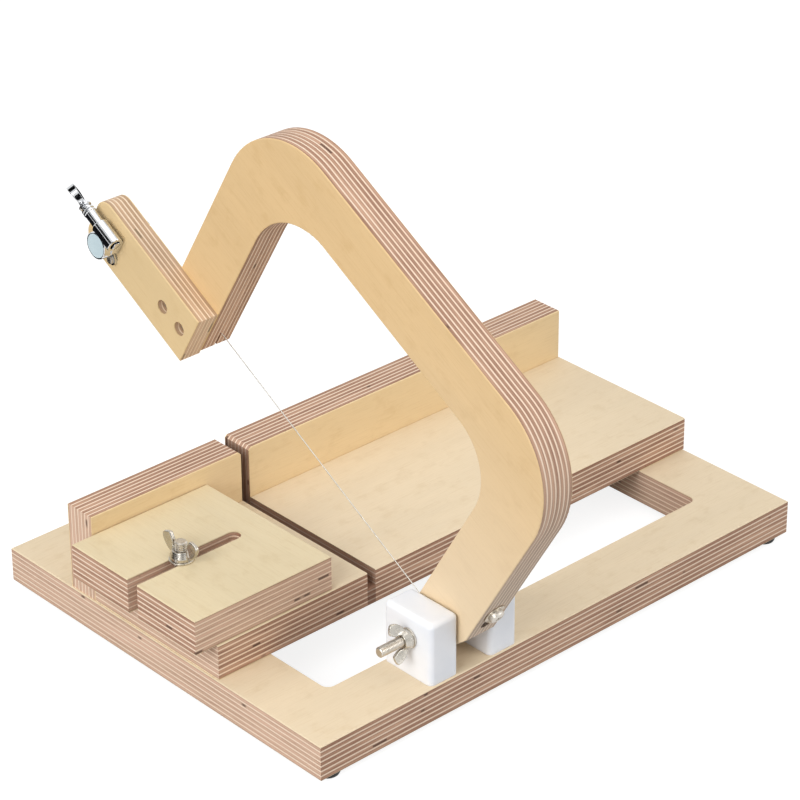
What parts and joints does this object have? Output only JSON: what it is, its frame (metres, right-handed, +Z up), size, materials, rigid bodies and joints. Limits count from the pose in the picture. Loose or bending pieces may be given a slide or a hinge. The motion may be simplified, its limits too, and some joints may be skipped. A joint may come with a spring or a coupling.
{
  "type": "soap cutter",
  "caption": "Plywood soap cutter: a wire strung across a hinged arm swings down through a kerf in a bed with a fence and a sliding stop plate.",
  "frame": {"origin": "on the table, under the middle of the base board's outline", "axes": "+X to the right along the base, bed and fence; +Y to the back, from the arm's pivot towards the fence; +Z up"},
  "size_m": [0.3161, 0.3031, 0.2448],
  "materials": {
    "base_ply": "satin birch plywood",
    "bed_ply": "satin birch plywood",
    "fence_ply": "satin birch plywood",
    "stop_ply": "satin birch plywood",
    "arm_ply": "satin birch plywood",
    "tuner_ply": "satin birch plywood",
    "white_plastic": "satin white polyethylene",
    "shim_plastic": "natural nylon",
    "zinc": "bright zinc plate",
    "wing_zinc": "cast and zinc plated",
    "black_rubber": "matte",
    "screw_steel": "zinc plated",
    "tinned_copper": "tinned",
    "wire_steel": "drawn stainless",
    "tuner_chrome": "polished",
    "tuner_cap_plate": "satin disc"
  },
  "bodies": {
    "base": {"base_frame": "base_ply", "bed_board": "bed_ply", "fence_board": "fence_ply", "pivot_block_left": "white_plastic", "pivot_block_right": "white_plastic", "pivot_bolt": "zinc", "pivot_shims": "shim_plastic", "pivot_washer": "zinc", "stop_bolt": "zinc", "stop_washer": "zinc", "rubber_feet": "black_rubber", "base_screws": "screw_steel", "fence_screws": "screw_steel"},
    "stop": {"stop_plate": "stop_ply"},
    "stop_nut": {"stop_wing_nut": "wing_zinc"},
    "pivot_nut": {"pivot_wing_nut": "wing_zinc"},
    "arm": {"arm_frame": "arm_ply", "tuner_block": "tuner_ply", "tuner_block_screws": "screw_steel", "tuner_housing": "tuner_chrome", "tuner_cap": "tuner_cap_plate", "tuner_screw": "screw_steel", "tuner_bushing": "tuner_chrome", "tuner_washer": "tuner_chrome", "cutting_wire": "wire_steel", "wire_lug": "tinned_copper", "lug_screw": "screw_steel"},
    "key": {"tuner_key": "tuner_chrome"},
    "post": {"string_post": "tuner_chrome"}
  },
  "joints": [
    {"name": "arm_swing", "type": "hinge", "parent": "base", "child": "arm", "pos_m": [-0.0596, -0.0975, 0.041], "axis": [1, 0, 0], "range_deg": [-29.9, 60]},
    {"name": "stop_slide", "type": "slide", "parent": "base", "child": "stop", "axis": [1, 0, 0], "range_m": [-0.03, 0.021]},
    {"name": "stop_nut_turn", "type": "hinge", "parent": "base", "child": "stop_nut", "pos_m": [-0.135, 0.0025, 0.058], "axis": [0, 0, 1], "continuous": true},
    {"name": "pivot_nut_turn", "type": "hinge", "parent": "base", "child": "pivot_nut", "pos_m": [-0.08735, -0.0975, 0.041], "axis": [1, 0, 0], "continuous": true},
    {"name": "key_turn", "type": "hinge", "parent": "arm", "child": "key", "pos_m": [-0.0861, 0.10668, 0.16232], "axis": [0, 0.8616, 0.5075], "continuous": true},
    {"name": "post_turn", "type": "hinge", "parent": "arm", "child": "post", "pos_m": [-0.0596, 0.117, 0.15957], "axis": [1, 0, 0], "continuous": true}
  ],
  "couplings": [
    {"joint": "post_turn", "follows": "key_turn", "ratio": 0.066667}
  ]
}
